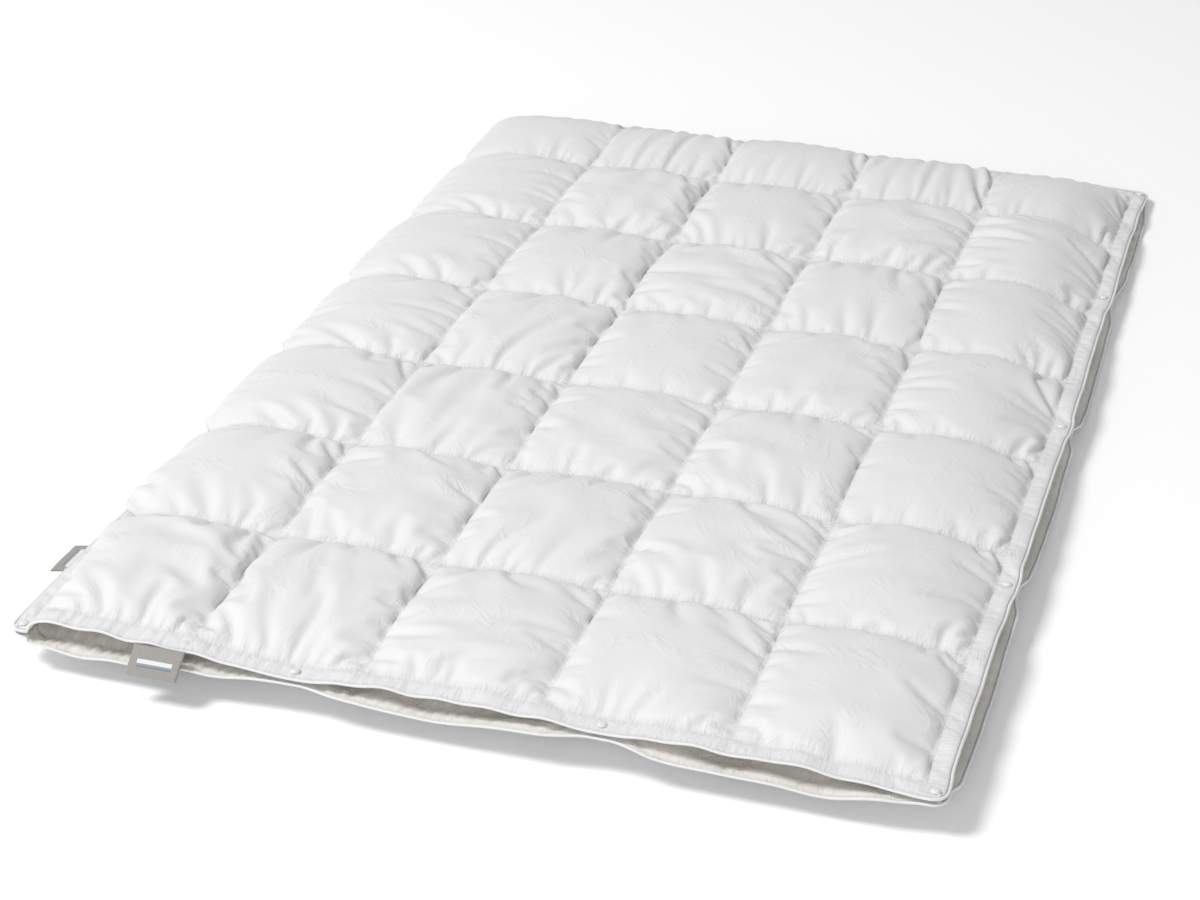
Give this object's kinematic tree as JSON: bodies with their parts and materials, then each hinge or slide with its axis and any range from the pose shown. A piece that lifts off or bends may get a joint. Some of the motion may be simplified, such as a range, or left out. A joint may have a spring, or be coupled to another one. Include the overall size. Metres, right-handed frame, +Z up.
{
  "type": "four-season down quilt",
  "caption": "Two white box-stitched down quilts laid one on the other and held round the hem by press studs, with piped edges and woven tabs.",
  "frame": {"origin": "on the floor under the middle of the quilt, on the flat underside of the lower quilt's middle box", "axes": "+Z up, +Y along the length away from the edge with the front label, +X across the width"},
  "size_m": [1.4163, 2.2479, 0.1034],
  "materials": {
    "cotton_cambric": "soft matt downproof cotton",
    "cotton_inside": "soft matt downproof cotton",
    "down": "loose down",
    "piping": "satin cotton cord",
    "pearl_snap": "pearly gloss",
    "woven_label": "fine woven ribbon"
  },
  "bodies": {
    "lower_near": {"lower_bottom_panel_near": "cotton_cambric", "lower_down_row_1": "down", "lower_down_row_2": "down", "lower_down_row_3": "down", "lower_down_row_4": "down", "lower_piping_near": "piping", "lower_top_panel_near": "cotton_inside", "snap_stud_1": "pearl_snap", "snap_stud_13": "pearl_snap", "snap_stud_14": "pearl_snap", "snap_stud_2": "pearl_snap", "snap_stud_3": "pearl_snap", "snap_stud_4": "pearl_snap", "snap_stud_5": "pearl_snap", "snap_stud_6": "pearl_snap"},
    "lower_far": {"lower_bottom_panel_far": "cotton_cambric", "lower_down_row_5": "down", "lower_down_row_6": "down", "lower_down_row_7": "down", "lower_piping_far": "piping", "lower_top_panel_far": "cotton_inside", "snap_stud_10": "pearl_snap", "snap_stud_11": "pearl_snap", "snap_stud_12": "pearl_snap", "snap_stud_7": "pearl_snap", "snap_stud_8": "pearl_snap", "snap_stud_9": "pearl_snap"},
    "upper_near": {"snap_socket_1": "pearl_snap", "snap_socket_13": "pearl_snap", "snap_socket_14": "pearl_snap", "snap_socket_2": "pearl_snap", "snap_socket_3": "pearl_snap", "snap_socket_4": "pearl_snap", "snap_socket_5": "pearl_snap", "snap_socket_6": "pearl_snap", "upper_bottom_panel_near": "cotton_inside", "upper_down_row_1": "down", "upper_down_row_2": "down", "upper_down_row_3": "down", "upper_down_row_4": "down", "upper_piping_near": "piping", "upper_top_panel_near": "cotton_cambric"},
    "upper_far": {"snap_socket_10": "pearl_snap", "snap_socket_11": "pearl_snap", "snap_socket_12": "pearl_snap", "snap_socket_7": "pearl_snap", "snap_socket_8": "pearl_snap", "snap_socket_9": "pearl_snap", "upper_bottom_panel_far": "cotton_inside", "upper_down_row_5": "down", "upper_down_row_6": "down", "upper_down_row_7": "down", "upper_piping_far": "piping", "upper_top_panel_far": "cotton_cambric"},
    "front_label_tab": {"front_label": "woven_label"},
    "side_label_tab": {"side_label": "woven_label"}
  },
  "joints": [
    {"name": "fold", "type": "hinge", "parent": "lower_near", "child": "lower_far", "pos_m": [0, 0.15286, 0.0986], "axis": [1, 0, 0], "range_deg": [0, 175]},
    {"name": "lift_off", "type": "slide", "parent": "lower_near", "child": "upper_near", "axis": [0, 0, 1], "range_m": [0, 0.4]},
    {"name": "upper_fold", "type": "hinge", "parent": "upper_near", "child": "upper_far", "pos_m": [0, 0.15286, 0.0986], "axis": [1, 0, 0], "range_deg": [0, 175]},
    {"name": "front_label_flip", "type": "hinge", "parent": "upper_near", "child": "front_label_tab", "pos_m": [-0.41686, -1.1056, 0.0742], "axis": [-1, 0, 0], "range_deg": [0, 100]},
    {"name": "side_label_flip", "type": "hinge", "parent": "lower_near", "child": "side_label_tab", "pos_m": [-0.66597, -0.85, 0.02833], "axis": [0, 1, 0], "range_deg": [0, 70]}
  ],
  "couplings": [
    {"joint": "upper_fold", "follows": "fold", "ratio": 1}
  ]
}
